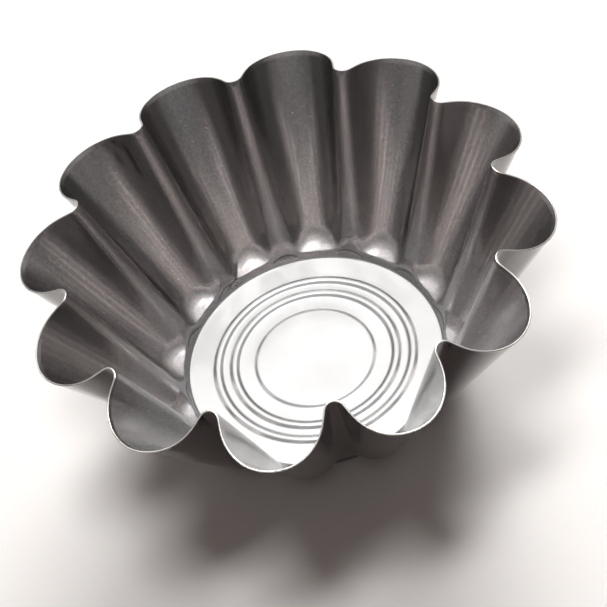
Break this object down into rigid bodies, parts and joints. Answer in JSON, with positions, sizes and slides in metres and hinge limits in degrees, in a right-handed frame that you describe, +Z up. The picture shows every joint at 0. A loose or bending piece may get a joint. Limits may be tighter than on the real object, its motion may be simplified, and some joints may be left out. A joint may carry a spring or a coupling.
{
  "type": "fluted babka pan",
  "caption": "Round fluted baking pan with flaring lobed walls, a flat base stiffened by ring ribs and a thin turned-out rim, for baking babka and brioche.",
  "frame": {"origin": "centre of the base, on the plane that the pan stands on", "axes": "+Z up through the open mouth, +X towards a valley nose of the flutes"},
  "size_m": [0.2146, 0.2146, 0.0876],
  "materials": {
    "sheet_steel": "bare cut edge of pressed sheet",
    "lining": "semi-gloss metallic grey non-stick",
    "outer_coat": "semi-gloss metallic grey baked coat"
  },
  "bodies": {
    "root": {"steel_shell": "sheet_steel", "nonstick_lining": "lining", "outer_coat": "outer_coat"}
  },
  "joints": []
}
